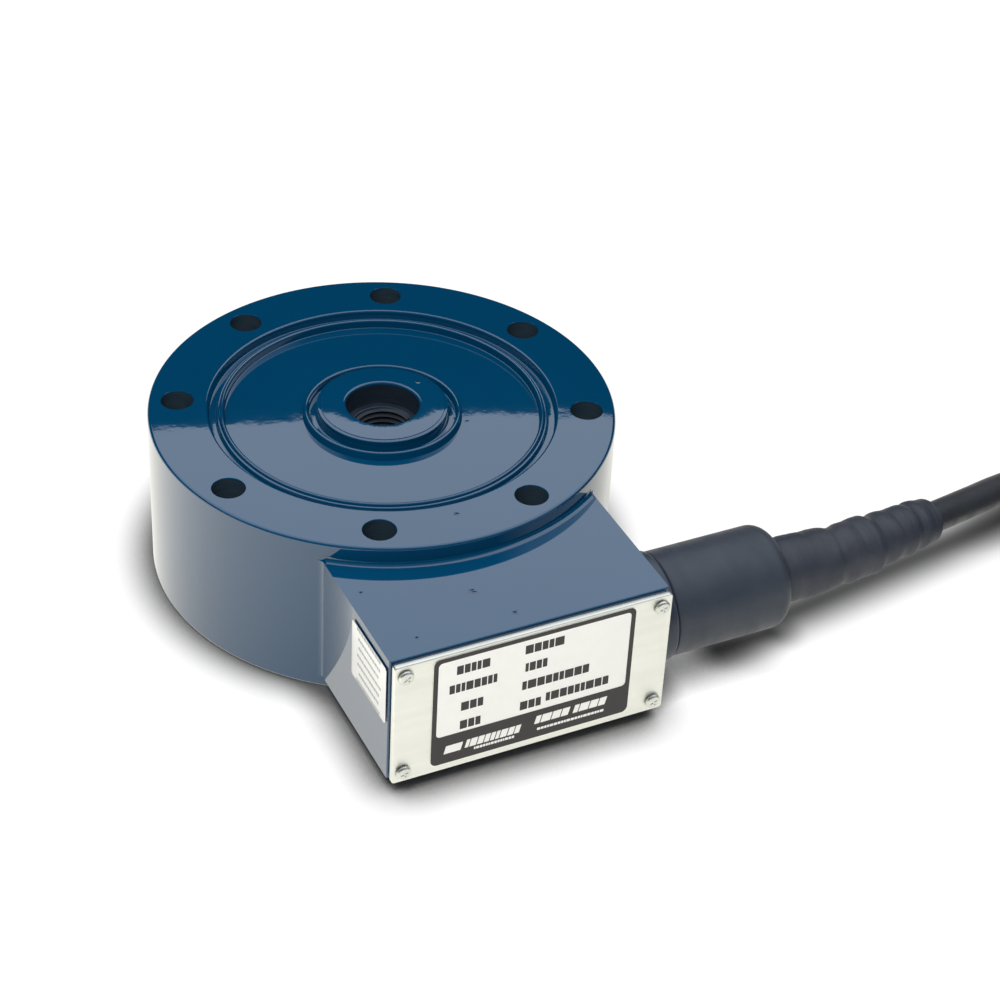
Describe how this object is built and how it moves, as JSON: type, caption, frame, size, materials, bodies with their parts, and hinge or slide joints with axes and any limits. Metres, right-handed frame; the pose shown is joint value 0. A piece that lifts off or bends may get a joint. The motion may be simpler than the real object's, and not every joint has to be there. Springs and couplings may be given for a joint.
{
  "type": "cylindrical load cell",
  "caption": "Low, round blue-enamelled load cell with a ring of bolt holes, a central threaded hub, a side terminal box and a cable in a rubber boot.",
  "frame": {"origin": "centre of the base plane, on the load axis; the bottom cover's face lies 0.3 mm above it", "axes": "+Z is the load axis, pointing up out of the hub; -Y points out of the front cover of the terminal box; +X is the way the cable leaves the box"},
  "size_m": [0.3546, 0.2319, 0.0493],
  "materials": {
    "blue_enamel": "gloss",
    "plated_steel": "satin",
    "satin_aluminium": "satin",
    "label_white": "satin",
    "black_rubber": "matt",
    "cable_sheath": "matt",
    "gauge_foil": "satin",
    "copper_wire": "gloss",
    "green_laminate": "satin",
    "brass": "satin",
    "terminal_black": "satin",
    "resistor_body": "gloss",
    "core_red": "satin",
    "core_black": "satin",
    "core_green": "satin",
    "core_white": "satin"
  },
  "bodies": {
    "root": {"cell_body": "blue_enamel", "top_diaphragm": "blue_enamel", "bottom_cover": "blue_enamel", "strain_gauge_1": "gauge_foil", "strain_gauge_2": "gauge_foil", "strain_gauge_3": "gauge_foil", "strain_gauge_4": "gauge_foil", "strain_gauge_5": "gauge_foil", "strain_gauge_6": "gauge_foil", "strain_gauge_7": "gauge_foil", "strain_gauge_8": "gauge_foil", "bridge_wiring": "copper_wire", "bridge_leads": "copper_wire", "terminal_box": "blue_enamel", "cover_gasket": "black_rubber", "front_cover": "satin_aluminium", "cover_screw_1": "plated_steel", "cover_screw_2": "plated_steel", "cover_screw_3": "plated_steel", "cover_screw_4": "plated_steel", "rating_label": "label_white", "side_label": "label_white", "compensation_board": "green_laminate", "board_standoff_1": "brass", "board_standoff_2": "brass", "board_standoff_3": "brass", "board_standoff_4": "brass", "board_screw_1": "plated_steel", "board_screw_2": "plated_steel", "board_screw_3": "plated_steel", "board_screw_4": "plated_steel", "terminal_strip": "terminal_black", "trim_resistor_1": "resistor_body", "trim_resistor_2": "resistor_body", "trim_resistor_3": "resistor_body", "trim_resistor_4": "resistor_body", "gland_body": "blue_enamel", "gland_locknut": "brass", "gland_seal": "black_rubber", "gland_washer": "plated_steel", "cable_boot": "black_rubber", "bend_relief": "black_rubber", "signal_cable": "cable_sheath", "cable_coil": "cable_sheath", "cable_tail": "cable_sheath", "core_end_red": "core_red", "core_end_black": "core_black", "core_end_green": "core_green", "core_end_white": "core_white", "core_wire_red": "core_red", "core_wire_black": "core_black", "core_wire_green": "core_green", "core_wire_white": "core_white"}
  },
  "joints": []
}
